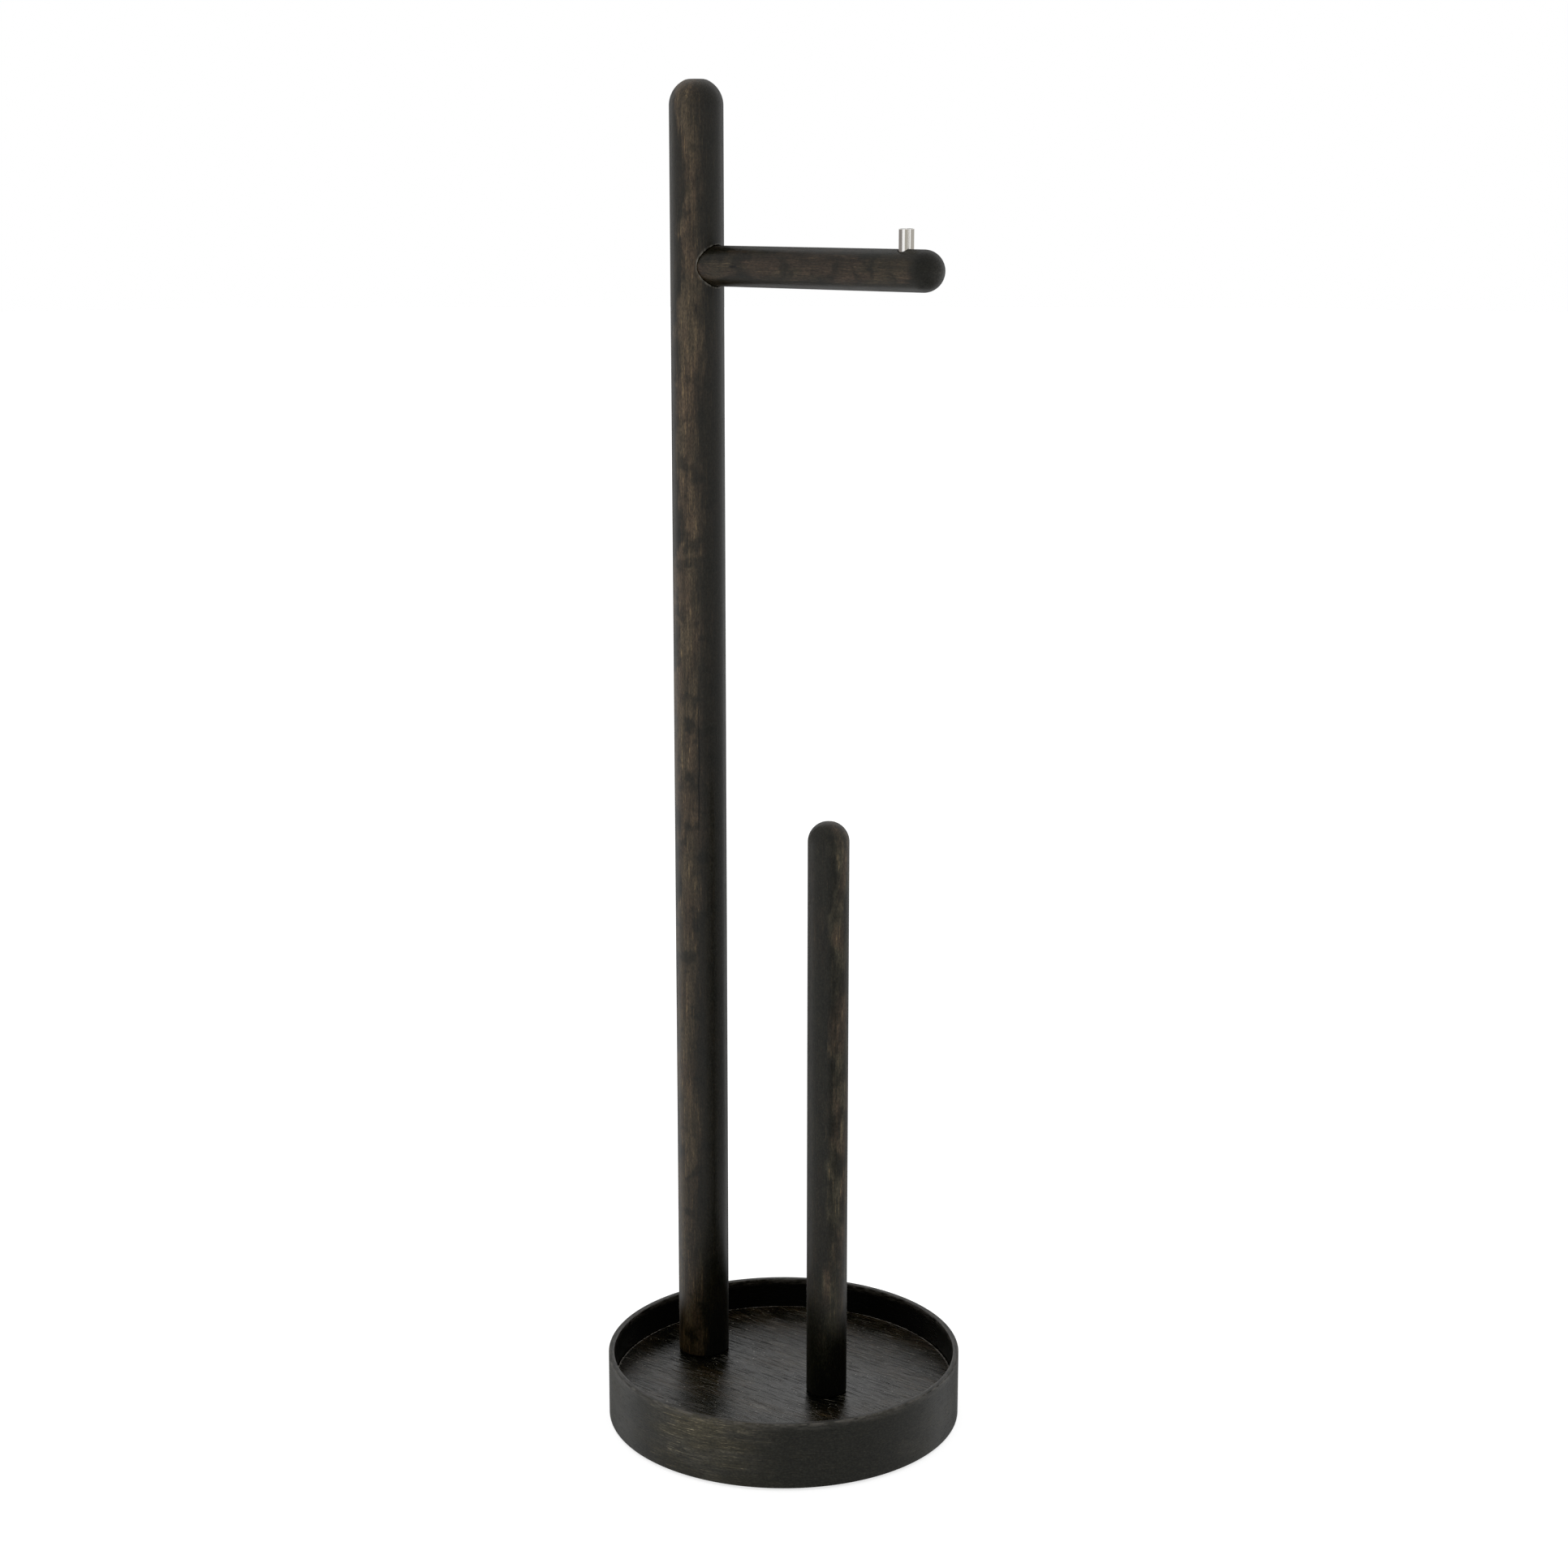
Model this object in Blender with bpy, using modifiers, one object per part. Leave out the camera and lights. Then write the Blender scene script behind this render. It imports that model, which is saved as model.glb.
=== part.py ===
"""A free-standing toilet paper stand of dark stained wood.

A round tray carries two upright posts. The tall one holds a level arm for the roll in use, with two
steel pins near its tip that keep the roll on. The short one threads the spare rolls. A steel plate
under the tray floor makes the base heavy, and one bolt goes up through it into each post.

Metres, +Z up. The origin is the centre of the tray where its pad meets the floor, and the arm points
along +X.
"""

import math

import bmesh
import bpy

GAP = 0.0003  # clearance between pieces that touch

# tray ring
RING_RADIUS = 0.1
RING_WALL = 0.0032
RING_BOTTOM = 0.0015
RING_HEIGHT = 0.0374
RING_EASE = 0.0006

# tray floor, the plate under it and the pad that it stands on
FLOOR_TOP = RING_BOTTOM + 0.0199
FLOOR_THICKNESS = 0.012
FLOOR_EASE = 0.0004
PLATE_RADIUS = 0.09
PLATE_THICKNESS = 0.006
PAD_RADIUS = 0.088
EDGE_BREAK = 0.0005

# tall post
TALL_X = -0.0598
TALL_Y = 0.0
TALL_RADIUS = 0.0145
TALL_DOME_TOP = RING_BOTTOM + 0.7423
TALL_TIP_CUT = 0.00085

# spare roll post
SPARE_X = 0.031
SPARE_Y = 0.0
SPARE_RADIUS = 0.01135
SPARE_DOME_TOP = RING_BOTTOM + 0.3511
SPARE_TIP_CUT = 0.0005

FOOT_EASE = 0.001

# roll arm, with its length measured from the tall post's axis
ARM_HEIGHT = RING_BOTTOM + 0.6445
ARM_RADIUS = 0.01075
ARM_REACH = 0.1607
SEAT_DEPTH_FROM_AXIS = 0.007

# stop pins
PIN_RADIUS = 0.0023
PIN_CHAMFER = 0.0004
PIN_REACH = 0.1388
PIN_HALF_SPACING = 0.0027
PIN_PROUD = 0.0102
PIN_SUNK = 0.012
PIN_CLEARANCE = 0.0002

# M6 fixings
BOLT_RADIUS = 0.003
BOLT_HEAD_RADIUS = 0.0058
BOLT_HEAD_HEIGHT = 0.0028
BOLT_TOP = 0.04
SOCKET_ACROSS_FLATS = 0.004
SOCKET_DEPTH = 0.002
INSERT_RADIUS = 0.005
INSERT_LIP = 0.001
INSERT_FLANGE = 0.001
INSERT_LENGTH = 0.018
INSERT_HOLE_DEPTH = 0.0216
ARM_INSERT_RADIUS = 0.0042
ARM_INSERT_LENGTH = 0.014
STUD_BEHIND_AXIS = 0.009
STUD_IN_ARM = 0.0215

POST_STEPS = 56
RING_STEPS = 120
PLATE_STEPS = 72
PIN_STEPS = 24
FIXING_STEPS = 24
DOME_STEPS = 9

WOOD_COLOUR = (0.036, 0.026, 0.019)
STEEL_COLOUR = (0.62, 0.62, 0.63)
PLATE_COLOUR = (0.11, 0.11, 0.115)
ZINC_COLOUR = (0.5, 0.5, 0.48)
FELT_COLOUR = (0.02, 0.02, 0.02)

SHARP_ANGLE = math.radians(32)


def clear_scene():
    for obj in list(bpy.data.objects):
        bpy.data.objects.remove(obj, do_unlink=True)


def new_collection(name):
    collection = bpy.data.collections.new(name)
    bpy.context.scene.collection.children.link(collection)
    return collection


def principled(name, colour, roughness, metallic=0.0):
    material = bpy.data.materials.new(name)
    material.use_nodes = True
    shader = material.node_tree.nodes["Principled BSDF"]
    shader.inputs["Base Color"].default_value = (*colour, 1.0)
    shader.inputs["Roughness"].default_value = roughness
    shader.inputs["Metallic"].default_value = metallic
    material.diffuse_color = (*colour, 1.0)
    return material


def stained_wood(part, roughness=0.42):
    return principled(part + "_stained_wood", WOOD_COLOUR, roughness)


def polished_steel(part):
    return principled(part + "_polished_steel", STEEL_COLOUR, 0.2, 1.0)


def zinc_steel(part):
    return principled(part + "_zinc_steel", ZINC_COLOUR, 0.35, 1.0)


def arc(centre_r, centre_z, radius, start, end, steps):
    """Points of an arc in the (r, z) half plane, angles in degrees from the +r direction."""
    points = []
    for i in range(steps + 1):
        angle = math.radians(start + (end - start) * i / steps)
        r = centre_r + radius * math.cos(angle)
        points.append((r, centre_z + radius * math.sin(angle)))
    return points


def turned(name, profile, steps, collection, material, closed=False):
    """A solid of revolution about Z from an (r, z) profile that runs down its outer side."""
    mesh = bpy.data.meshes.new(name)
    shape = bmesh.new()
    points = [shape.verts.new((r, 0.0, z)) for r, z in profile]
    for first, second in zip(points, points[1:]):
        shape.edges.new((first, second))
    if closed:
        shape.edges.new((points[-1], points[0]))
    shape.to_mesh(mesh)
    shape.free()
    obj = bpy.data.objects.new(name, mesh)
    collection.objects.link(obj)
    screw = obj.modifiers.new("Turn", "SCREW")
    screw.axis = "Z"
    screw.steps = steps
    screw.render_steps = steps
    screw.use_merge_vertices = True
    screw.merge_threshold = 0.00001
    apply_modifiers(obj)
    obj.data.materials.append(material)
    return obj


def apply_modifiers(obj):
    bpy.context.view_layer.update()
    evaluated = obj.evaluated_get(bpy.context.evaluated_depsgraph_get())
    mesh = bpy.data.meshes.new_from_object(evaluated)
    obj.modifiers.clear()
    obj.data = mesh
    mesh.name = obj.name
    mesh.shade_smooth()
    mesh.set_sharp_from_angle(angle=SHARP_ANGLE)


def cutter(name, profile, steps, cutters, location, along_x=False):
    """A turned cutting shape, placed with its own Z along the object's Z or X."""
    obj = turned(name, profile, steps, cutters, cutters_material())
    obj.location = location
    if along_x:
        obj.rotation_euler = (0.0, math.pi / 2, 0.0)
    obj.hide_render = True
    obj.display_type = "WIRE"
    return obj


def cutters_material():
    return bpy.data.materials.get("cutter") or principled("cutter", (0.8, 0.1, 0.1), 0.5)


def rod_profile(radius, low, high):
    return [(0.0, high), (radius, high), (radius, low), (0.0, low)]


def cut(obj, tool):
    boolean = obj.modifiers.new("Cut " + tool.name, "BOOLEAN")
    boolean.operation = "DIFFERENCE"
    boolean.solver = "EXACT"
    boolean.object = tool


def build_ring(parts):
    """The bent wooden wall of the tray, with both edges lightly eased."""
    outer = RING_RADIUS
    inner = RING_RADIUS - RING_WALL
    top = RING_BOTTOM + RING_HEIGHT
    ease = RING_EASE
    profile = arc(outer - ease, top - ease, ease, 90, 0, 2)
    profile += arc(outer - ease, RING_BOTTOM + ease, ease, 0, -90, 2)
    profile += arc(inner + ease, RING_BOTTOM + ease, ease, -90, -180, 2)
    profile += arc(inner + ease, top - ease, ease, 180, 90, 2)
    turned("base_ring", profile, RING_STEPS, parts, stained_wood("base_ring"), closed=True)


def build_floor(parts, cutters):
    """The tray floor, let into the ring, with a bolt hole under each post."""
    radius = RING_RADIUS - RING_WALL - GAP
    low = FLOOR_TOP - FLOOR_THICKNESS
    profile = [(0.0, FLOOR_TOP)]
    profile += arc(radius - FLOOR_EASE, FLOOR_TOP - FLOOR_EASE, FLOOR_EASE, 90, 0, 2)
    profile += [(radius, low), (0.0, low)]
    floor = turned("base_disc", profile, RING_STEPS, parts, stained_wood("base_disc", 0.5))
    for which, x, y in bolt_places():
        hole = rod_profile(BOLT_RADIUS + GAP, -2 * FLOOR_THICKNESS, FLOOR_THICKNESS)
        cut(floor, cutter("floor_hole_" + which, hole, FIXING_STEPS, cutters, (x, y, FLOOR_TOP)))


def plate_top():
    return FLOOR_TOP - FLOOR_THICKNESS - GAP


def plate_bottom():
    return plate_top() - PLATE_THICKNESS


def build_plate(parts, cutters):
    """The steel weight under the floor, countersunk for the two bolts."""
    top = plate_top()
    low = plate_bottom()
    profile = [(0.0, top), (PLATE_RADIUS - EDGE_BREAK, top), (PLATE_RADIUS, top - EDGE_BREAK)]
    profile += [(PLATE_RADIUS, low + EDGE_BREAK), (PLATE_RADIUS - EDGE_BREAK, low), (0.0, low)]
    steel = principled("ballast_plate_steel", PLATE_COLOUR, 0.55, 1.0)
    plate = turned("ballast_plate", profile, PLATE_STEPS, parts, steel)
    wide = BOLT_HEAD_RADIUS + GAP
    narrow = BOLT_RADIUS + GAP
    sink = BOLT_HEAD_HEIGHT + GAP
    for which, x, y in bolt_places():
        hole = [(0.0, 2 * PLATE_THICKNESS), (narrow, 2 * PLATE_THICKNESS), (narrow, sink)]
        hole += [(wide, GAP), (wide, -PLATE_THICKNESS), (0.0, -PLATE_THICKNESS)]
        tool = cutter("plate_hole_" + which, hole, FIXING_STEPS, cutters, (x, y, low))
        cut(plate, tool)


def build_pad(parts):
    """The thin pad that the stand rests on, which holds the ring just clear of the floor."""
    top = plate_bottom() - GAP
    profile = [(0.0, top), (PAD_RADIUS, top), (PAD_RADIUS, 0.0), (0.0, 0.0)]
    turned("base_pad", profile, PLATE_STEPS, parts, principled("pad_felt", FELT_COLOUR, 0.95))


def post_profile(radius, dome_top, tip_cut):
    """A round post with an eased foot and a hemispherical top whose tip is sanded flat."""
    low = FLOOR_TOP + GAP
    centre = dome_top - radius
    start = 90 - math.degrees(math.acos((radius - tip_cut) / radius))
    profile = [(0.0, dome_top - tip_cut)]
    profile += arc(0.0, centre, radius, start, 0, DOME_STEPS)
    profile += arc(radius - FOOT_EASE, low + FOOT_EASE, FOOT_EASE, 0, -90, 2)
    return profile + [(0.0, low)]


def insert_hole(radius, depth):
    """The hole for a flanged insert, drawn from its mouth at z = 0 upwards."""
    mouth = radius + INSERT_LIP
    step = INSERT_FLANGE + GAP
    inside = [(0.0, depth), (radius, depth), (radius, step), (mouth, step)]
    return [*inside, (mouth, -depth), (0.0, -depth)]


def build_tall_post(parts, cutters):
    """The tall post, bored for its bolt below and for the arm and its stud near the top."""
    profile = post_profile(TALL_RADIUS, TALL_DOME_TOP, TALL_TIP_CUT)
    post = turned("tall_post", profile, POST_STEPS, parts, stained_wood("tall_post"))
    post.location = (TALL_X, TALL_Y, 0.0)
    hole = insert_hole(INSERT_RADIUS + GAP, INSERT_HOLE_DEPTH)
    foot = (TALL_X, TALL_Y, FLOOR_TOP + GAP)
    cut(post, cutter("tall_post_hole", hole, FIXING_STEPS, cutters, foot))
    axis = (TALL_X, TALL_Y, ARM_HEIGHT)
    seat = rod_profile(ARM_RADIUS + GAP, SEAT_DEPTH_FROM_AXIS, 2 * TALL_RADIUS)
    cut(post, cutter("arm_seat", seat, POST_STEPS, cutters, axis, along_x=True))
    stud = rod_profile(BOLT_RADIUS + GAP, -STUD_BEHIND_AXIS - GAP, TALL_RADIUS)
    cut(post, cutter("stud_hole", stud, FIXING_STEPS, cutters, axis, along_x=True))


def build_spare_post(parts, cutters):
    """The short post that the spare rolls are threaded on."""
    profile = post_profile(SPARE_RADIUS, SPARE_DOME_TOP, SPARE_TIP_CUT)
    post = turned("spare_post", profile, POST_STEPS, parts, stained_wood("spare_post"))
    post.location = (SPARE_X, SPARE_Y, 0.0)
    hole = insert_hole(INSERT_RADIUS + GAP, INSERT_HOLE_DEPTH)
    foot = (SPARE_X, SPARE_Y, FLOOR_TOP + GAP)
    cut(post, cutter("spare_post_hole", hole, FIXING_STEPS, cutters, foot))


def build_arm(parts, cutters):
    """The level arm, round-ended, seated in the tall post and bored for its insert and the pins."""
    root = SEAT_DEPTH_FROM_AXIS + GAP
    profile = [(0.0, ARM_REACH)]
    profile += arc(0.0, ARM_REACH - ARM_RADIUS, ARM_RADIUS, 90, 0, DOME_STEPS)[1:]
    profile += [(ARM_RADIUS, root), (0.0, root)]
    arm = turned("roll_arm", profile, POST_STEPS, parts, stained_wood("roll_arm"))
    arm.location = (TALL_X, TALL_Y, ARM_HEIGHT)
    arm.rotation_euler = (0.0, math.pi / 2, 0.0)
    hole = insert_hole(ARM_INSERT_RADIUS + GAP, ARM_INSERT_LENGTH + 3 * GAP)
    mouth = (TALL_X + root, TALL_Y, ARM_HEIGHT)
    cut(arm, cutter("arm_insert_hole", hole, FIXING_STEPS, cutters, mouth, along_x=True))
    low = ARM_RADIUS - PIN_SUNK - PIN_CLEARANCE
    for which, x, y in pin_places():
        bore = rod_profile(PIN_RADIUS + PIN_CLEARANCE, low, 2 * ARM_RADIUS)
        tool = cutter("pin_hole_" + which, bore, PIN_STEPS, cutters, (x, y, ARM_HEIGHT))
        cut(arm, tool)


def build_pins(parts):
    """Two steel pins side by side across the arm, with chamfered tips."""
    low = ARM_RADIUS - PIN_SUNK
    high = ARM_RADIUS + PIN_PROUD
    narrow = PIN_RADIUS - PIN_CHAMFER
    profile = [(0.0, high), (narrow, high), (PIN_RADIUS, high - PIN_CHAMFER)]
    profile += [(PIN_RADIUS, low + PIN_CHAMFER), (narrow, low), (0.0, low)]
    for which, x, y in pin_places():
        name = "stop_pin_" + which
        pin = turned(name, profile, PIN_STEPS, parts, polished_steel(name))
        pin.location = (x, y, ARM_HEIGHT)


def build_bolts(parts, cutters):
    """A countersunk bolt with a hexagon socket for each post."""
    head = plate_bottom() + GAP
    shoulder = head + BOLT_HEAD_HEIGHT
    profile = [(0.0, BOLT_TOP), (BOLT_RADIUS - EDGE_BREAK, BOLT_TOP)]
    profile += [(BOLT_RADIUS, BOLT_TOP - EDGE_BREAK), (BOLT_RADIUS, shoulder)]
    profile += [(BOLT_HEAD_RADIUS, head), (0.0, head)]
    corner = SOCKET_ACROSS_FLATS / math.sqrt(3)
    socket = rod_profile(corner, -SOCKET_DEPTH, SOCKET_DEPTH)
    for which, x, y in bolt_places():
        name = which + "_bolt"
        bolt = turned(name, profile, FIXING_STEPS, parts, zinc_steel(name))
        bolt.location = (x, y, 0.0)
        cut(bolt, cutter(name + "_socket", socket, 6, cutters, (x, y, head)))


def insert_profile(radius, bore, length):
    """A flanged sleeve, drawn from its flange at z = 0 upwards."""
    flange = radius + INSERT_LIP
    outer = [(radius, length), (radius, INSERT_FLANGE), (flange, INSERT_FLANGE), (flange, 0.0)]
    return [(bore, length), *outer, (bore, 0.0)]


def build_inserts(parts):
    """The threaded sleeves in the foot of each post and in the root of the arm."""
    bore = BOLT_RADIUS + GAP
    profile = insert_profile(INSERT_RADIUS, bore, INSERT_LENGTH)
    for which, x, y in bolt_places():
        name = which + "_insert"
        sleeve = turned(name, profile, FIXING_STEPS, parts, zinc_steel(name), closed=True)
        sleeve.location = (x, y, FLOOR_TOP + 2 * GAP)
    profile = insert_profile(ARM_INSERT_RADIUS, bore, ARM_INSERT_LENGTH)
    sleeve = turned("arm_insert", profile, FIXING_STEPS, parts, zinc_steel("arm_insert"), closed=True)
    sleeve.location = (TALL_X + SEAT_DEPTH_FROM_AXIS + 2 * GAP, TALL_Y, ARM_HEIGHT)
    sleeve.rotation_euler = (0.0, math.pi / 2, 0.0)


def build_stud(parts):
    """The threaded stud that draws the arm into its seat in the tall post."""
    low = -STUD_BEHIND_AXIS
    profile = [(0.0, STUD_IN_ARM), (BOLT_RADIUS - EDGE_BREAK, STUD_IN_ARM)]
    profile += [(BOLT_RADIUS, STUD_IN_ARM - EDGE_BREAK), (BOLT_RADIUS, low + EDGE_BREAK)]
    profile += [(BOLT_RADIUS - EDGE_BREAK, low), (0.0, low)]
    stud = turned("arm_stud", profile, FIXING_STEPS, parts, zinc_steel("arm_stud"))
    stud.location = (TALL_X, TALL_Y, ARM_HEIGHT)
    stud.rotation_euler = (0.0, math.pi / 2, 0.0)


def bolt_places():
    """Each post's name for its fixings, with the post's axis."""
    return (("tall_post", TALL_X, TALL_Y), ("spare_post", SPARE_X, SPARE_Y))


def pin_places():
    """The two pins, the one on the -Y side of the arm first."""
    x = TALL_X + PIN_REACH
    return (("front", x, TALL_Y - PIN_HALF_SPACING), ("rear", x, TALL_Y + PIN_HALF_SPACING))


def main():
    clear_scene()
    parts = new_collection("toilet_paper_stand")
    cutters = new_collection("cutters")
    build_ring(parts)
    build_floor(parts, cutters)
    build_plate(parts, cutters)
    build_pad(parts)
    build_tall_post(parts, cutters)
    build_spare_post(parts, cutters)
    build_arm(parts, cutters)
    build_pins(parts)
    build_bolts(parts, cutters)
    build_inserts(parts)
    build_stud(parts)


main()
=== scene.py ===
"""Looks for a free-standing toilet paper holder of dark stained wood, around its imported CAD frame.

The wooden pieces and the steel pins are rebuilt here as finer, smooth meshes on the CAD sizes. The hidden
plate, bolts, inserts and stud stay as they are in the CAD and get procedural materials.
Metres, +Z up, origin at the centre of the tray where it stands on the floor, roll arm along +X.
"""

import math

import bmesh
import bpy
from mathutils import Matrix, Vector


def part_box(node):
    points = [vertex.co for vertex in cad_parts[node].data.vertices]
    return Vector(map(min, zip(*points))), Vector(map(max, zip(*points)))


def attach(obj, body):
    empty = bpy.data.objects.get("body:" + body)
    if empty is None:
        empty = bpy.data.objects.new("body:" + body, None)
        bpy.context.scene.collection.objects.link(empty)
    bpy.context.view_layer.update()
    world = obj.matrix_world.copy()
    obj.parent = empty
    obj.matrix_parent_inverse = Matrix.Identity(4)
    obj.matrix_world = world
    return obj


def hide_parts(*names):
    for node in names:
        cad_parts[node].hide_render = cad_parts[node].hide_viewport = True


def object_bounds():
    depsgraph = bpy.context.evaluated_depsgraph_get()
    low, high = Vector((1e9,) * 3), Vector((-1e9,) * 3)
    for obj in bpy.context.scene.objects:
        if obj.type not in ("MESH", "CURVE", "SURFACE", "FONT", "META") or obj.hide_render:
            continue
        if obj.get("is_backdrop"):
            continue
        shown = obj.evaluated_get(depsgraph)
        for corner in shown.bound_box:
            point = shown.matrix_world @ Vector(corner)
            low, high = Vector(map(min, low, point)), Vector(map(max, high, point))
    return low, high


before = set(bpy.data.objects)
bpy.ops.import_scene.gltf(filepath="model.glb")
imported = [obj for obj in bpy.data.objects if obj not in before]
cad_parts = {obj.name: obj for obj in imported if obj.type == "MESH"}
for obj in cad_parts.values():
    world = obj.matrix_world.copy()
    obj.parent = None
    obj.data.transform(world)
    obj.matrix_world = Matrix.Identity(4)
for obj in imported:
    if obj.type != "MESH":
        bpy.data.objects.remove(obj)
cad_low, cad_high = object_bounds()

# ---- sizes read from the frame
ring_low, ring_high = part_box("base_ring")
disc_low, disc_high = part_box("base_disc")
tall_low, tall_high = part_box("tall_post")
spare_low, spare_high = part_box("spare_post")
arm_low, arm_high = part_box("roll_arm")
front_pin_low, front_pin_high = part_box("stop_pin_front")
rear_pin_low, rear_pin_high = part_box("stop_pin_rear")
stud_low, stud_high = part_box("arm_stud")
arm_insert_low, arm_insert_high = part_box("arm_insert")
post_insert_low, post_insert_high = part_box("tall_post_insert")


def middle_of(low, high):
    """The x and y of the middle of a box."""
    return (low.x + high.x) / 2, (low.y + high.y) / 2


GAP = 0.0003  # clearance between pieces that touch, as in the CAD

RING_RADIUS = (ring_high.x - ring_low.x) / 2
DISC_RADIUS = (disc_high.x - disc_low.x) / 2
RING_INNER = DISC_RADIUS + GAP
TALL_RADIUS = (tall_high.x - tall_low.x) / 2
TALL_AXIS = middle_of(tall_low, tall_high)
SPARE_RADIUS = (spare_high.x - spare_low.x) / 2
SPARE_AXIS = middle_of(spare_low, spare_high)
ARM_RADIUS = (arm_high.y - arm_low.y) / 2
ARM_Z = (arm_low.z + arm_high.z) / 2
PIN_RADIUS = (front_pin_high.x - front_pin_low.x) / 2
STUD_RADIUS = (stud_high.y - stud_low.y) / 2
BOLT_RADIUS = STUD_RADIUS

TALL_TIP_CUT = 0.00085  # how much of each post's dome is cut off flat
SPARE_TIP_CUT = 0.0005
TIP_EDGE = 0.00012  # the rounding of that flat's edge, and how far in it starts
TIP_EDGE_IN = 0.0006
FOOT_EASE = 0.001
ARM_ROOT_EASE = 0.0002
RING_EASE = 0.0006
DISC_EASE = 0.0004
DISC_RIM = 0.0012
SEAT_EASE = 0.0005
INSERT_FLANGE = 0.001
INSERT_LIP = 0.001
POST_HOLE_DEPTH = 0.0216
PIN_CHAMFER = 0.0004
PIN_CLEARANCE = 0.0002
TOOL_REACH = 0.01  # how far a boring tool sticks out of the wood

# ---- steps round and along
POST_TURN = 144
RING_TURN = 288
PIN_TURN = 48
DOME_STEPS = 20
EASE_STEPS = 6
POST_ROW = 0.004  # the most between two rows of points on the posts and ring
ARM_ROW = 0.0022
DISC_ROW = 0.012
PIN_ROW = 0.003
SEAT_SIDE = 32  # steps each way from +X in the window left for the arm's seat
SEAT_BLEND_RINGS = 9
SEAT_EASE_RINGS = 7
SHARP = math.radians(34)

# ---- camera, fitted to the outlines
CAMERA_PLACE = Vector((0.89417, -1.11854, 0.68968))
CAMERA_AHEAD = Vector((-0.609286, 0.762233, -0.218568))
CAMERA_UP = Vector((-0.13683, 0.17044, 0.975822))
CAMERA_LENS = 61.692
SENSOR = 36.0
CAMERA_RIGHT = CAMERA_AHEAD.cross(CAMERA_UP).normalized()

# ---- where the ring's stain is rubbed
RING_SLANT = 1.3  # the grain's shift for each metre out from the axis, so that it changes across the rim
RUB_TURN = -82.0  # its middle and its half width, in degrees round the ring
RUB_HALF = 30.0
RUB_FOOT = (0.022, 0.35)  # the height of the darker foot, and the share that stays at its bottom
RUB_SHIFT = -0.011  # its shift round the ring, in metres
RUB_PATCH = (0.018, 0.050)
RUB_PATCH_SPAN = (0.46, 0.66)
RUB_PATCH_MOST = 0.16
RING_OUTSIDE = (0.0016, 0.0006)  # the depths in the wall between which the outside's look comes in and the painted shade inside ends
RING_INSIDE = (0.0004, 0.0016)
RING_INSIDE_SMOOTH = -0.18


# ======== mesh helpers
def add_object(name, data):
    obj = bpy.data.objects.new(name, data)
    bpy.context.scene.collection.objects.link(obj)
    return obj


def finish_mesh(name, shape, material, wear_and_highlight=None):
    """Turns a bmesh into a named, smooth-shaded object, with a pale edge share stored on its points: wear,
    and a painted highlight on the tall post's seat.
    """
    bmesh.ops.recalc_face_normals(shape, faces=shape.faces)
    mesh = bpy.data.meshes.new(name)
    shape.to_mesh(mesh)
    shape.free()
    obj = add_object(name, mesh)
    mesh.shade_smooth()
    mesh.set_sharp_from_angle(angle=SHARP)
    mesh.materials.append(material)
    if wear_and_highlight is not None:
        store_wear_and_highlight(mesh, wear_and_highlight)
    return obj


def store_wear_and_highlight(mesh, wear_and_highlight):
    layer = mesh.attributes.new("wear_and_highlight", "FLOAT", "POINT")
    layer.data.foreach_set("value", [wear_and_highlight(v.co) for v in mesh.vertices])


def join_loops(shape, first, second):
    """Quads, or triangles at a single point, between two closed loops of points."""
    count = max(len(first), len(second))
    for i in range(count):
        j = (i + 1) % count
        if len(first) == 1:
            shape.faces.new((first[0], second[j], second[i]))
        elif len(second) == 1:
            shape.faces.new((first[i], first[j], second[0]))
        else:
            shape.faces.new((first[i], first[j], second[j], second[i]))


def arc(centre_r, centre_z, radius, start, end, steps):
    """Points of an arc in the (r, z) half plane, angles in degrees from +r."""
    points = []
    for i in range(steps + 1):
        angle = math.radians(start + (end - start) * i / steps)
        points.append((centre_r + radius * math.cos(angle), centre_z + radius * math.sin(angle)))
    return points


def turned_loops(shape, profile, steps, place):
    """One loop of points for each (r, z) of a profile. place turns (x, y, z) into the final point."""
    loops = []
    for r, z in profile:
        if r < 1e-7:
            loops.append([shape.verts.new(place(0.0, 0.0, z))])
            continue
        loop = []
        for i in range(steps):
            turn = 2 * math.pi * i / steps
            loop.append(shape.verts.new(place(r * math.cos(turn), r * math.sin(turn), z)))
        loops.append(loop)
    return loops


def turn_solid(shape, profile, steps, place, closed=False):
    """A solid of revolution about the local Z axis."""
    loops = turned_loops(shape, profile, steps, place)
    for first, second in zip(loops, loops[1:]):
        join_loops(shape, first, second)
    if closed:
        join_loops(shape, loops[-1], loops[0])


def spaced(first, last, most):
    """Values from first to last, both kept, no further apart than most."""
    count = max(1, math.ceil(abs(last - first) / most))
    return [first + (last - first) * i / count for i in range(count + 1)]


def upright(axis):
    """Places a solid of revolution on an upright axis."""
    return lambda x, y, z: (axis[0] + x, axis[1] + y, z)


def level(x, y, z):
    """Places a solid of revolution on the roll arm's axis, its local Z along +X."""
    return (TALL_AXIS[0] + z, TALL_AXIS[1] + y, ARM_Z - x)


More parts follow.
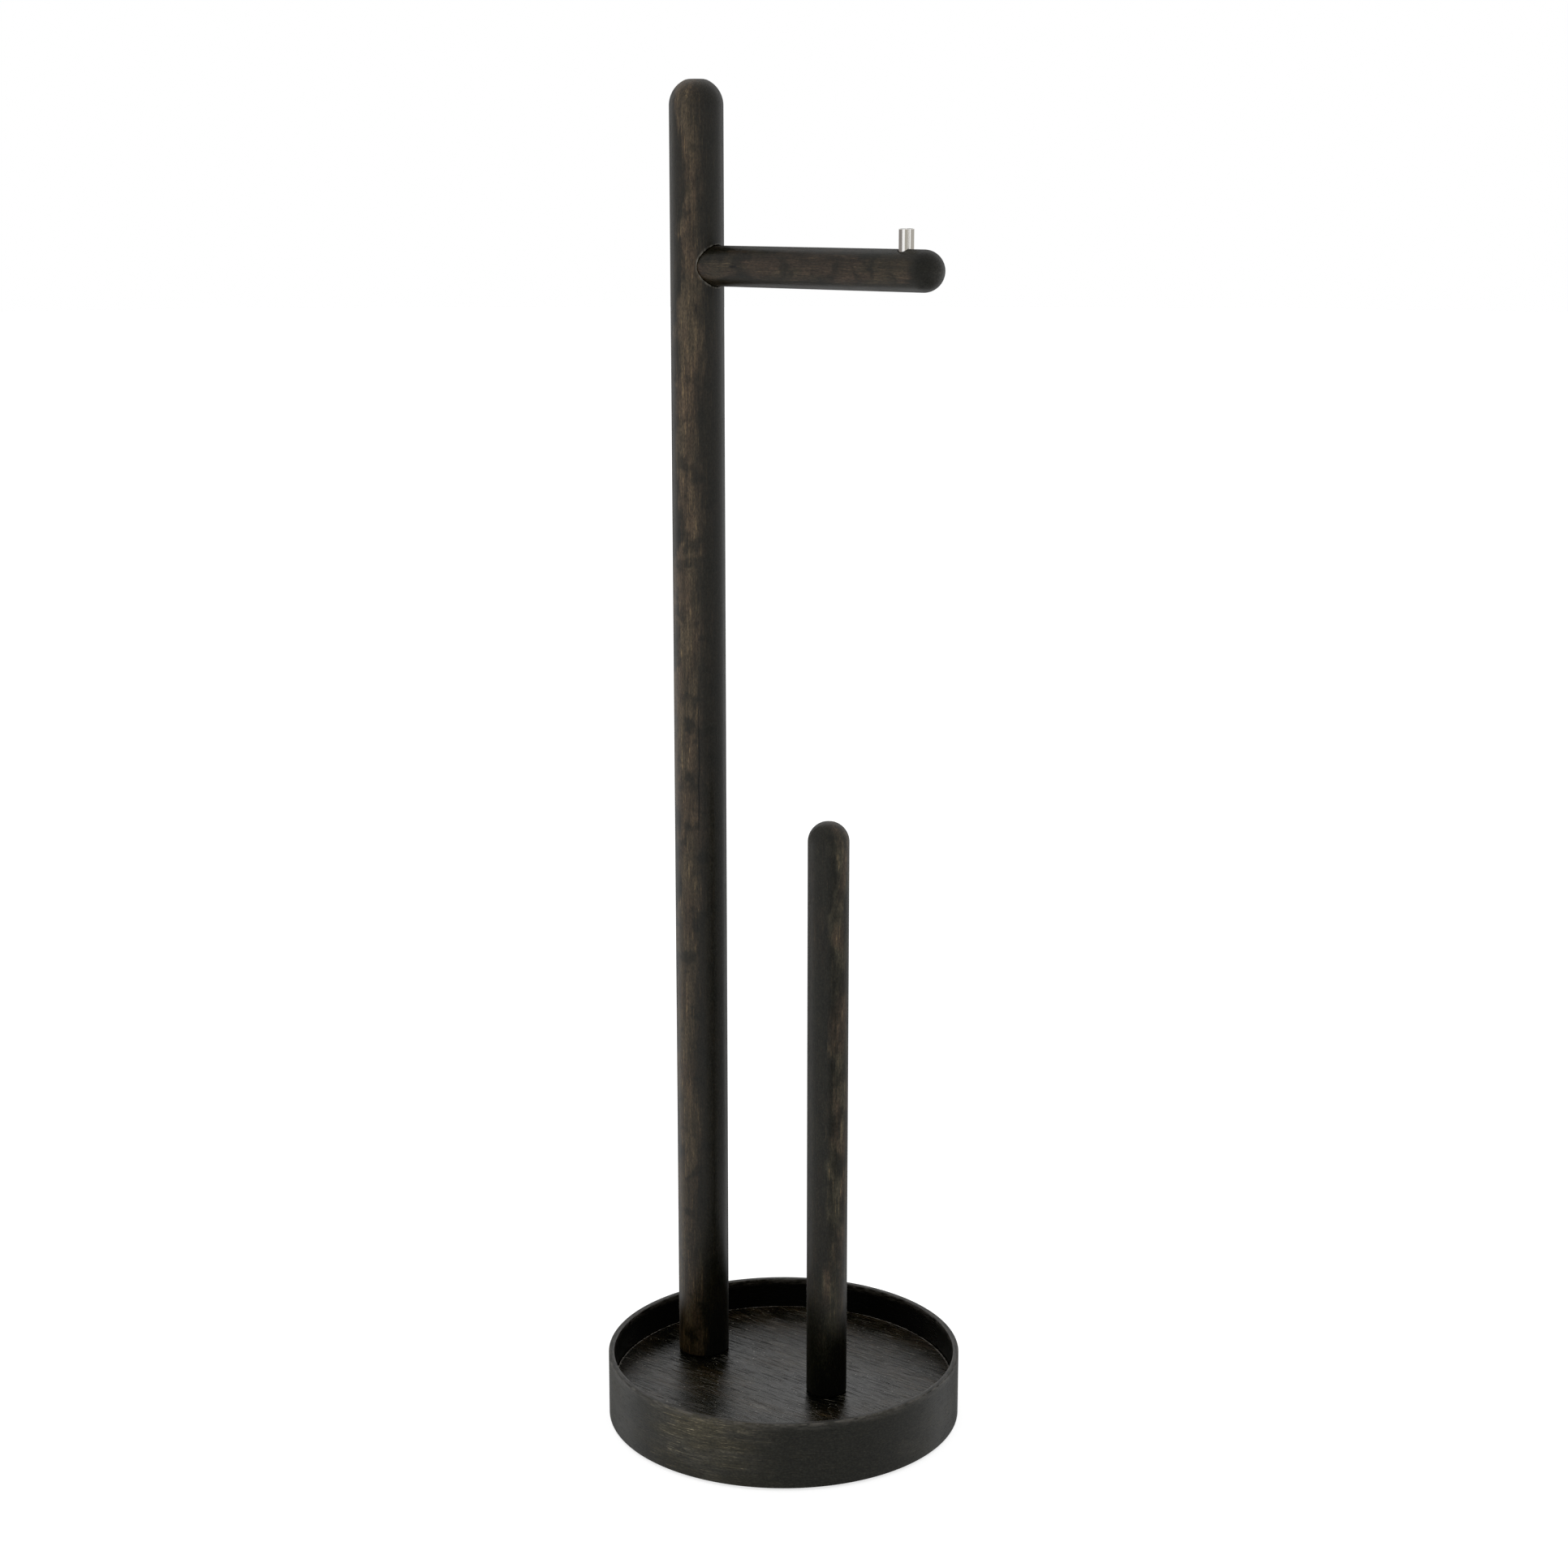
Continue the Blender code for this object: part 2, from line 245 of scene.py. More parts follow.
# ======== node helpers
class Graph:
    """A material's nodes, added one small step at a time."""

    def __init__(self, name):
        self.material = bpy.data.materials.new(name)
        self.material.use_nodes = True
        self.tree = self.material.node_tree
        self.tree.nodes.clear()
        self.out = self.add("ShaderNodeOutputMaterial")
        self.shader = self.add("ShaderNodeBsdfPrincipled")
        self.tree.links.new(self.shader.outputs["BSDF"], self.out.inputs["Surface"])

    def add(self, kind):
        return self.tree.nodes.new(kind)

    def feed(self, socket, value):
        """Links a node's output to a socket, or sets the socket to a plain value."""
        if isinstance(value, bpy.types.NodeSocket):
            self.tree.links.new(value, socket)
        else:
            socket.default_value = value

    def surface(self, **values):
        """Sets or links the shader's sockets, named with _ for a space. A colour has three numbers."""
        for name, value in values.items():
            if isinstance(value, tuple):
                value = (*value, 1.0)
            self.feed(self.shader.inputs[name.replace("_", " ")], value)

    def maths(self, operation, a, b=None, c=None, clamp=False):
        node = self.add("ShaderNodeMath")
        node.operation = operation
        node.use_clamp = clamp
        for socket, value in zip(node.inputs, (a, b, c)):
            if value is not None:
                self.feed(socket, value)
        return node.outputs[0]

    def times(self, a, b, clamp=False):
        return self.maths("MULTIPLY", a, b, clamp=clamp)

    def plus(self, a, b):
        return self.maths("ADD", a, b)

    def less(self, a, b):
        return self.maths("SUBTRACT", a, b)

    def times_plus(self, a, b, c, clamp=False):
        """a times b, plus c."""
        return self.maths("MULTIPLY_ADD", a, b, c, clamp=clamp)

    def vector(self, x, y, z):
        node = self.add("ShaderNodeCombineXYZ")
        for socket, value in zip(node.inputs, (x, y, z)):
            self.feed(socket, value)
        return node.outputs[0]

    def parts(self, vector):
        node = self.add("ShaderNodeSeparateXYZ")
        self.feed(node.inputs[0], vector)
        return node.outputs[0], node.outputs[1], node.outputs[2]

    def noise(self, vector, detail=2.0, roughness=0.5, distortion=0.0):
        """Noise from about 0 to 1 round 0.5, at scale 1, so that the vector sets the feature size."""
        node = self.add("ShaderNodeTexNoise")
        self.feed(node.inputs["Vector"], vector)
        settings = {"Scale": 1.0, "Detail": detail, "Roughness": roughness, "Distortion": distortion}
        for name, setting in settings.items():
            node.inputs[name].default_value = setting
        return node.outputs["Fac"]

    def step(self, value, low, high, to_low=0.0, to_high=1.0, kind="SMOOTHSTEP"):
        """A smooth or LINEAR step of value from low to high, which may run downwards."""
        node = self.add("ShaderNodeMapRange")
        node.interpolation_type = kind
        node.clamp = True
        self.feed(node.inputs["Value"], value)
        ends = {"From Min": low, "From Max": high, "To Min": to_low, "To Max": to_high}
        for name, end in ends.items():
            node.inputs[name].default_value = end
        return node.outputs["Result"]

    def mix(self, share, first, second):
        """The first colour where share is 0, the second where it is 1."""
        node = self.add("ShaderNodeMix")
        node.data_type = "RGBA"
        node.clamp_factor = True
        self.feed(node.inputs[0], share)
        for socket, value in ((node.inputs[6], first), (node.inputs[7], second)):
            if isinstance(value, tuple):
                value = (*value, 1.0)
            self.feed(socket, value)
        return node.outputs[2]

    def bump(self, height, distance, strength=1.0):
        node = self.add("ShaderNodeBump")
        node.inputs["Distance"].default_value = distance
        node.inputs["Strength"].default_value = strength
        self.feed(node.inputs["Height"], height)
        return node.outputs["Normal"]

    def position(self):
        return self.add("ShaderNodeTexCoord").outputs["Object"]

    def stored(self, name):
        node = self.add("ShaderNodeAttribute")
        node.attribute_type = "GEOMETRY"
        node.attribute_name = name
        return node.outputs["Fac"]

    def grazing(self):
        """0 where the surface is seen straight on, 1 where it is seen edge on, for its gloss."""
        node = self.add("ShaderNodeLayerWeight")
        node.inputs["Blend"].default_value = 0.5
        return node.outputs["Facing"]


# ======== stained wood
CHARCOAL = (0.0025, 0.0025, 0.0013)
BROWN = (0.086, 0.062, 0.037)
RED_BROWN = (0.084, 0.056, 0.034)
OLIVE = (0.070, 0.060, 0.036)
ASH = (0.075, 0.068, 0.052)
GOLD = (0.260, 0.180, 0.085)
TAN = (0.300, 0.255, 0.165)
SOOT = (0.0012, 0.0011, 0.0010)
PALE_EDGE = (0.095, 0.087, 0.077)
PALE_RIM_LINE = (0.52, 0.49, 0.44)
# the tall post's pale edge colour: a painted highlight on the eased edge round the arm's seat, and wear at
# its tip
SEAT_HIGHLIGHT_AND_TIP_WEAR = (0.15, 0.14, 0.12)
HAZE = (0.094, 0.097, 0.072)
SCUFF = (0.34, 0.32, 0.28)

WARM_TURN = 38.6  # the way across a post, in degrees from +X, along which its warm band is placed

# noise values between which each effect comes in, with its shares there where they aren't 0 and 1
SWING_SPAN = (0.32, 0.68)
TINT_SPAN = (0.42, 0.58)
HAIR_SPAN = (0.58, 0.68)
HAIR_FIBRE_SPAN = (0.40, 0.62)
HAIR_GRIT_SPAN = (0.30, 0.60, 0.4, 1.0)
HAZE_SPAN = (0.40, 0.70)
PORE_SPAN = (0.62, 0.72)
FLECK_SPAN = (0.62, 0.74)
EDGE_BREAK_SPAN = (0.40, 0.62)
RIM_SPAN = (0.50, 0.90)

TINT_SIZE = (0.010, 0.034)
EDGE_BREAK_SIZE = (0.0012, 0.0060)
EDGE_BREAK_LEAST = 0.2  # how much of the pale edge colour, wear and painted highlight alike, stays where it is broken
CRACK_DARK = 0.9
SMUDGE_ROUGH = 0.10
PORE_HEIGHT = -0.8  # heights in the relief, where a fibre is 1
HAIR_HEIGHT = 0.45
CRACK_HEIGHT = -3.0


class Grain:
    """Wood coordinates in metres: two across the grain and one along it."""

    def __init__(self, graph, across_a, across_b, along, bent=False):
        self.graph = graph
        self.across_a = across_a
        self.across_b = across_b
        self.along = along
        self.bent = bent  # the grain runs round a ring, so that along is an arc of RING_RADIUS

    def at(self, size, seed, ragged=None):
        """A noise vector whose features are size[0] across the grain and size[1] along it.

        ragged shifts the features along the grain, fibre by fibre, so that their ends fray.
        """
        g = self.graph
        width, length = size
        along = self.along if ragged is None else g.plus(self.along, ragged)
        if not self.bent:
            a = g.times(self.across_a, 1 / width)
            b = g.times_plus(self.across_b, 1 / width, seed)
            c = g.times_plus(along, 1 / length, seed * 1.7)
            return g.vector(a, b, c)
        turn = g.times(along, 1 / RING_RADIUS)
        a = g.times_plus(g.maths("COSINE", turn), RING_RADIUS / length, seed)
        b = g.times_plus(g.maths("SINE", turn), RING_RADIUS / length, seed * 1.7)
        c = g.times_plus(self.across_a, 1 / width, seed * 2.3)
        return g.vector(a, b, c)


def turned(g, a, b, turn):
    """The coordinates (a, b) seen along axes turned by so many degrees."""
    c, s = math.cos(math.radians(turn)), math.sin(math.radians(turn))
    return g.times_plus(b, s, g.times(a, c)), g.times_plus(b, c, g.times(a, -s))


def swing(g, noise, most):
    """A factor round 1 that follows a noise, by as much as most up and down."""
    return g.step(noise, *SWING_SPAN, 1.0 - most, 1.0 + most)


def stained_wood(name, grain_of, seed, warm_share, look, checks=(), scuffs=()):
    """Satin wood under a dark stain that lets brown and gold through where it was rubbed thin.

    grain_of gives the wood coordinates. warm_share gives 0 to 1, how far the stain is rubbed there.
    checks are short drying cracks along the grain, and scuffs are pale scratches and specks.
    """
    g = Graph(name)
    grain = grain_of(g)
    fibre = g.noise(grain.at(look["fibre"], seed), 4.0, 0.66)
    hair = g.noise(grain.at(look["hair"], seed + 11.0), 2.0, 0.55)
    grit = g.noise(grain.at(look["grit"], seed + 17.0), 2.0, 0.6)
    pores = g.noise(grain.at(look["pore"], seed + 23.0), 1.0, 0.5)
    ragged = g.times_plus(fibre, look["fray"], g.times(hair, look["fray"] * 0.5))
    veil = g.noise(grain.at(look["veil"], seed + 31.0, ragged), 3.0, 0.6)
    smudge = g.noise(grain.at(look["smudge"], seed + 37.0, ragged), 3.0, 0.5)
    tint = g.noise(grain.at(TINT_SIZE, seed + 51.0, ragged), 1.0, 0.5)

    def shown(value):
        """A share, or what is left of it under the look's shown mask, which holds lighter tones back as
        painted shade.
        """
        return value if look["shown"] is None else g.times(look["shown"](g), value)

    rubbed = g.times_plus(warm_share(g, grain, seed, ragged), look["thin_gain"], shown(look["thin_base"]))
    open_share = g.step(smudge, look["smudge_low"], look["smudge_high"])
    closed = look["smudge_floor"]
    if isinstance(closed, tuple):
        closed = g.step(grain.along, *closed)
    open_share = g.times_plus(open_share, g.less(1.0, closed), closed)
    openness = g.times(swing(g, veil, look["veil_swing"]), open_share)
    thin = g.times(rubbed, openness)
    streak = swing(g, fibre, look["fibre_swing"])
    speck = swing(g, grit, look["grit_swing"])
    amount = g.times(thin, g.times(streak, speck), clamp=True)
    brown = g.mix(g.step(tint, *TINT_SPAN), look["brown_a"], look["brown_b"])
    colour = g.mix(amount, CHARCOAL, brown)

    lines = g.times(g.step(hair, *HAIR_SPAN), g.step(fibre, *HAIR_FIBRE_SPAN))
    lines = g.times(lines, g.step(grit, *HAIR_GRIT_SPAN))
    golden = g.times(g.times(lines, thin), look["gold_gain"], clamp=True)
    colour = g.mix(golden, colour, look["gold"])

    haze = g.step(g.noise(grain.at(look["mottle"], seed + 61.0), 3.0, 0.65), *HAZE_SPAN)
    colour = g.mix(g.times(shown(haze), look["mottle_gain"]), colour, HAZE)

    dash = g.step(pores, *PORE_SPAN)
    colour = g.mix(g.times(dash, look["pore_dark"]), colour, SOOT)
    fleck = g.step(g.noise(grain.at(look["fleck"], seed + 71.0), 2.0, 0.6), *FLECK_SPAN)
    colour = g.mix(shown(g.times(fleck, look["fleck_gain"])), colour, look["fleck_colour"])
    crack = None
    for check in checks:
        mark = check(g, grain)
        crack = mark if crack is None else g.maths("MAXIMUM", crack, mark)
    if crack is not None:
        colour = g.mix(g.times(crack, CRACK_DARK), colour, SOOT)

    for scuff in scuffs:
        colour = g.mix(scuff(g, grain), colour, SCUFF)

    # pale edges: wear on most pieces, a painted highlight round the tall post's seat
    wear_and_highlight = g.stored("wear_and_highlight")
    broken = g.step(g.noise(grain.at(EDGE_BREAK_SIZE, seed + 83.0), 3.0, 0.6), *EDGE_BREAK_SPAN)
    rub_and_highlight = g.times(wear_and_highlight, g.times_plus(broken, 1.0 - EDGE_BREAK_LEAST, EDGE_BREAK_LEAST))
    colour = g.mix(rub_and_highlight, colour, look["edge"])

    rough = g.times_plus(fibre, look["rough_fibre"], look["rough"] - 0.5 * look["rough_fibre"])
    rough = g.times_plus(dash, look["rough_pore"], rough)
    rough = g.times_plus(smudge, SMUDGE_ROUGH, g.less(rough, SMUDGE_ROUGH / 2))
    if look["smooth_side"] is not None:
        rough = g.plus(rough, look["smooth_side"](g))
    rough = g.times_plus(g.step(g.grazing(), *RIM_SPAN), look["rough_rim"], rough, clamp=True)

    height = g.times_plus(dash, PORE_HEIGHT, fibre)
    height = g.times_plus(hair, HAIR_HEIGHT, height)
    if crack is not None:
        height = g.times_plus(crack, CRACK_HEIGHT, height)
    normal = g.bump(height, look["relief"])
    g.surface(Base_Color=colour, Roughness=rough, Normal=normal, Specular_IOR_Level=look["sheen"])
    return g.material


# Pairs are feature sizes across and along the grain, in metres. fray and relief are in metres too.
# smudge_floor is a share, or two places along the grain with the shares there.
LOOK = dict(
    brown_a=RED_BROWN, brown_b=BROWN, gold=GOLD, edge=PALE_EDGE, fleck_colour=BROWN,
    fibre=(0.0013, 0.026), hair=(0.00048, 0.011), grit=(0.00050, 0.0017),
    pore=(0.00045, 0.0055), veil=(0.0050, 0.0240), smudge=(0.0110, 0.0105),
    mottle=(0.0008, 0.0014), fleck=(0.00045, 0.0034), fray=0.003,
    fibre_swing=0.30, grit_swing=0.42, veil_swing=0.28,
    smudge_low=0.34, smudge_high=0.50, smudge_floor=(0.48, 0.60, 0.26, 0.50),
    thin_gain=0.47, thin_base=0.012, gold_gain=1.2,
    mottle_gain=0.055, fleck_gain=0.10, pore_dark=0.6,
    rough=0.36, rough_fibre=0.10, rough_pore=0.10, rough_rim=0.28,
    relief=0.00006, sheen=0.19,
    # shown, where a piece gives it, holds the stain's lighter tones back: painted shade
    shown=None, smooth_side=None,
)


def rod_grain(axis):
    """Grain straight up an upright rod."""

    def made(g):
        x, y, z = g.parts(g.position())
        return Grain(g, g.less(x, axis[0]), g.less(y, axis[1]), z)

    return made


def arm_grain(g):
    """Grain along the roll arm."""
    x, y, z = g.parts(g.position())
    return Grain(g, g.less(y, TALL_AXIS[1]), g.less(z, ARM_Z), x)


def hypot(g, x, y):
    return g.maths("SQRT", g.plus(g.times(x, x), g.times(y, y)))


def span_from_middle(g):
    """The distance from the tray's upright axis."""
    return hypot(g, *g.parts(g.position())[:2])


def ring_grain(g):
    """Grain running round the bent wall of the tray."""
    x, y, z = g.parts(g.position())
    across = g.times_plus(span_from_middle(g), RING_SLANT, z)
    along = g.times(g.maths("ARCTAN2", y, x), RING_RADIUS)
    return Grain(g, across, across, along, bent=True)


def disc_grain(g):
    """Straight grain across the tray floor, in the line of the two posts."""
    x, y, z = g.parts(g.position())
    return Grain(g, y, z, x)


BAND_EDGE = (0.0024, 0.016)  # the feature size of the band's frayed edge
BAND_WANDER = 0.040  # and of its slow wander
BAND_WANDER_GAIN = 1.6
BAND_LEAVE = 3.2  # how much softer the band's far edge is than its near edge
BAND_REST = (0.012, 0.12, 0.03)  # beyond the band: a length, and the shares at its two ends
BAND_FOOT = (0.001, 0.009)  # where the share at the foot ends across the rod


def band_across(turn, start, end, soft, wander, fades, lean=None, cap=None, foot=None):
    """Warm wood in a band across a rod, from start to end in metres, with frayed edges.

    fades gives pairs of places along the rod, with the band's share at the first. Below lean[0], over a
    length lean[2], the band moves towards its start by lean[1] for each metre. Above the places in cap its
    start moves in by cap[2]. Below the places in foot, a share foot[2] stays on the whole warm side.
    """

    def share(g, grain, seed, ragged):
        side = turned(g, grain.across_a, grain.across_b, turn)[0]
        if lean is not None:
            under = g.maths("MAXIMUM", g.less(lean[0], grain.along), 0.0)
            under = g.maths("MINIMUM", under, lean[2])
            side = g.times_plus(under, lean[1], side)
        drift = g.noise(grain.at(BAND_EDGE, seed + 5.0, ragged), 3.0, 0.65)
        slow = g.noise(grain.at((BAND_WANDER, BAND_WANDER), seed + 7.0), 2.0, 0.5)
        slide = g.times_plus(g.less(slow, 0.5), wander * BAND_WANDER_GAIN, side)
        frayed = g.times_plus(g.less(drift, 0.5), wander, slide)
        inner = g.times_plus(g.less(slow, 0.5), wander, frayed)
        if cap is not None:
            inner = g.less(inner, g.step(grain.along, cap[0], cap[1], 0.0, cap[2]))
        enter = g.step(inner, start - soft, start + soft)
        leave = g.step(frayed, end - BAND_LEAVE * soft, end + BAND_LEAVE * soft, 1.0, 0.0)
        rest = g.step(slide, end, end + BAND_REST[0], *BAND_REST[1:])
        band = g.maths("MAXIMUM", g.times(enter, leave), rest)
        for fade in fades:
            band = g.times(band, g.step(grain.along, fade[0], fade[1], fade[2], 1.0))
        if foot is not None:
            near = g.step(grain.along, foot[0], foot[1], foot[2], 0.0)
            warm_side = g.step(frayed, *BAND_FOOT, 1.0, 0.0)
            band = g.maths("MAXIMUM", band, g.times(near, warm_side))
        return band

    return share


FLOOR_PATCH = (0.016, 0.040)
FLOOR_PATCH_SPAN = (0.30, 0.62)
POST_FOOT_REACH = 0.032  # the distance from a post over which the painted shade at its foot gives way to the tray floor's rub
POST_FOOT_SMOOTH = 0.19
RIM_LINE_WIDTH = 0.0009
RIM_LINE_SHARE = 0.8


def floor_rub(g, grain, seed, ragged):
    """Warm patches scattered over the tray floor, away from the posts."""
    patches = g.noise(grain.at(FLOOR_PATCH, seed + 5.0, ragged), 2.0, 0.5)
    return g.times(g.step(patches, *FLOOR_PATCH_SPAN), outside_foot_shade(g))


def outside_foot_shade(g):
    """0 on the tray floor at the foot of either post, 1 a little way off. Where it is low the floor's lighter
    tones are held back: painted shade at the feet.
    """
    x, y, z = g.parts(g.position())
    shares = []
    for axis, radius in ((TALL_AXIS, TALL_RADIUS), (SPARE_AXIS, SPARE_RADIUS)):
        out = hypot(g, g.less(x, axis[0]), g.less(y, axis[1]))
        shares.append(g.step(out, radius, radius + POST_FOOT_REACH))
    return g.maths("MINIMUM", *shares)


def smooth_by_posts(g):
    """The tray floor is smoother by the posts' feet."""
    return g.times_plus(outside_foot_shade(g), POST_FOOT_SMOOTH, -POST_FOOT_SMOOTH)


SCRATCH_SIZE = (0.00050, 0.016)
SCRATCH_SPAN = (0.66, 0.72)
SCRATCH_GROUP = (0.018, 0.018)
SCRATCH_GROUP_SPAN = (0.50, 0.62)
SPECK_SPAN = (0.80, 0.84)
SPECK_SEED = 1.3
CHECK_SEED = 3.1
CHECK_DRIFT_SIZE = (0.030, 0.018)
CHECK_DRIFT = 0.0022
CHECK_TAPER = 0.35
CHECK_SOFT = 0.00012
CHECK_TURN_SOFT = 0.001


def scratches(turn, seed, most):
    """Fine pale scratches, at a turn in degrees from the grain, in loose groups."""

    def mark(g, grain):
        along, across = turned(g, grain.along, grain.across_a, turn)
        askew = Grain(g, across, grain.across_b, along)
        lines = g.step(g.noise(askew.at(SCRATCH_SIZE, seed), 1.0, 0.5), *SCRATCH_SPAN)
        groups = g.step(g.noise(askew.at(SCRATCH_GROUP, seed + 4.0), 1.0, 0.5), *SCRATCH_GROUP_SPAN)
        return g.times(g.times(lines, groups), most)

    return mark


def specks(size, most):
    """A few pale specks of dust."""

    def mark(g, grain):
        dust = g.noise(grain.at((size, size), SPECK_SEED), 0.0, 0.5)
        return g.times(g.step(dust, *SPECK_SPAN), most)

    return mark


def drying_check(turn, side_at, start, end, half_width):
    """A hairline crack on the side of a rod that faces the given turn, from start to end along it."""

    def mark(g, grain):
        side, behind = turned(g, grain.across_a, grain.across_b, turn)
        drift = g.noise(grain.at(CHECK_DRIFT_SIZE, CHECK_SEED), 2.0, 0.6)
        side = g.times_plus(g.less(drift, 0.5), CHECK_DRIFT, side)
        off = g.maths("ABSOLUTE", g.less(side, side_at))
        soft = (end - start) * CHECK_TAPER
        taper = g.times(g.step(grain.along, start, start + soft),
                        g.step(grain.along, end - soft, end, 1.0, 0.0))
        inside = g.less(g.times(taper, half_width), off)
        line = g.step(inside, -CHECK_SOFT, CHECK_SOFT)
        front = g.step(behind, -CHECK_TURN_SOFT, CHECK_TURN_SOFT, 1.0, 0.0)
        return g.times(g.times(line, front), taper)

    return mark


# ======== metals and felt
def scaled(g, place, scales):
    """A place, with each coordinate multiplied by its own scale."""
    return [g.times(value, scale) for value, scale in zip(place, scales)]


def pin_steel():
    """Polished stainless steel with faint turning marks round it."""
    g = Graph("pin_polished_steel")
    place = g.parts(g.position())
    lines = g.noise(g.vector(*scaled(g, place, (40.0, 40.0, 9000.0))), 2.0, 0.5)
    smear = g.noise(g.vector(*scaled(g, place, (700.0, 700.0, 300.0))), 2.0, 0.5)
    colour = g.mix(smear, (0.78, 0.765, 0.745), (0.84, 0.83, 0.81))
    rough = g.times_plus(smear, 0.08, 0.10)
    g.surface(Base_Color=colour, Roughness=rough, Normal=g.bump(lines, 0.000004), Metallic=1.0)
    return g.material


def dull_metal(name, light, dark, roughness, grain_size):
    """Plated or mill-finished steel with a mottled surface."""
    g = Graph(name)
    place = scaled(g, g.parts(g.position()), (1 / grain_size,) * 3)
    mottle = g.noise(g.vector(*place), 4.0, 0.6)
    cells = g.noise(g.vector(*scaled(g, place, (9.0,) * 3)), 2.0, 0.5)
    colour = g.mix(g.step(mottle, 0.3, 0.7), dark, light)
    rough = g.times_plus(cells, 0.2, roughness - 0.1)
    g.surface(Base_Color=colour, Roughness=rough, Normal=g.bump(cells, 0.00003), Metallic=1.0)
    return g.material


def black_felt():
    """Pressed felt: matt, with short tangled fibres."""
    g = Graph("felt_black")
    place = g.parts(g.position())
    near = g.vector(*scaled(g, place, (2600.0,) * 3))
    far = g.vector(*scaled(g, place, (350.0,) * 3))
    fibre = g.noise(near, 4.0, 0.7, 1.2)
    cloud = g.noise(far, 3.0, 0.5)
    tone = g.times_plus(fibre, 0.7, g.times(cloud, 0.3))
    colour = g.mix(tone, (0.008, 0.008, 0.009), (0.045, 0.045, 0.048))
    rough = g.times_plus(fibre, 0.1, 0.88)
    g.surface(Base_Color=colour, Roughness=rough, Normal=g.bump(fibre, 0.0002, 0.8), Sheen_Weight=0.3)
    return g.material


# ======== pieces
def post_profile(radius, low, high, tip_cut, rows):
    """Half outline of an upright post, from inside its foot hole round to its flat tip."""
    hole_radius = (post_insert_high.x - post_insert_low.x) / 2 - INSERT_LIP + GAP
    flange = INSERT_FLANGE + GAP
    profile = [(0.0, low + POST_HOLE_DEPTH), (hole_radius, low + POST_HOLE_DEPTH)]
    profile += [(hole_radius, low + flange), (hole_radius + INSERT_LIP, low + flange)]
    profile += [(hole_radius + INSERT_LIP, low)]
    profile += arc(radius - FOOT_EASE, low + FOOT_EASE, FOOT_EASE, -90, 0, EASE_STEPS)
    profile += [(radius, z) for z in rows]
    centre = high + tip_cut - radius
    tip = math.degrees(math.asin((radius - tip_cut) / radius))
    dome = arc(0.0, centre, radius, 0, tip, DOME_STEPS)
    tip_radius = dome[-1][0]
    profile += dome[:-1]
    profile += arc(tip_radius - TIP_EDGE_IN, high - TIP_EDGE, TIP_EDGE, 40, 90, 2)
    return profile + [(0.0, high)]


def build_spare_post():
    """The short post that the spare rolls are threaded on."""
    shape = bmesh.new()
    top = spare_high.z + SPARE_TIP_CUT - SPARE_RADIUS
    rows = spaced(spare_low.z + FOOT_EASE, top, POST_ROW)[1:-1]
    profile = post_profile(SPARE_RADIUS, spare_low.z, spare_high.z, SPARE_TIP_CUT, rows)
    turn_solid(shape, profile, POST_TURN, upright(SPARE_AXIS))
    look = dict(LOOK, brown_a=OLIVE, brown_b=RED_BROWN, smudge=(0.0070, 0.0150), smudge_low=0.38,
                smudge_high=0.60, smudge_floor=0.28, thin_gain=0.44, mottle_gain=0.065,
                fleck_gain=0.22, fleck=(0.00040, 0.0026))
    warm = band_across(WARM_TURN, start=0.0030, end=0.0135, soft=0.0030, wander=0.008,
                       fades=((0.045, 0.100, 0.0),), lean=(0.30, 0.026, 0.2))
    wood = stained_wood("spare_post_wood", rod_grain(SPARE_AXIS), 3.3, warm, look)
    return finish_mesh("spare_post_body", shape, wood, rod_wear(spare_high.z, top))


POST_TIP_WEAR = 0.25
ARM_TIP_WEAR = 0.2
# how much of the seat's pale edge colour, a painted highlight, the eased edge round the arm gets
SEAT_HIGHLIGHT = 0.9
SEAT_FLOOR = 0.0015  # the seat's edge starts this far out from its floor
SEAT_REACH = 0.003
RIM_DEPTH = 1.6  # how far the ring's worn rim reaches, in widths of its eased edge
RIM_WIDTH = 1.5


def rod_wear(high, dome):
    """Wear on a post: a little at the tip's flat edge."""

    def share(co):
        tip = max(0.0, (co.z - dome) / (high - dome))
        return POST_TIP_WEAR * tip ** 6

    return share


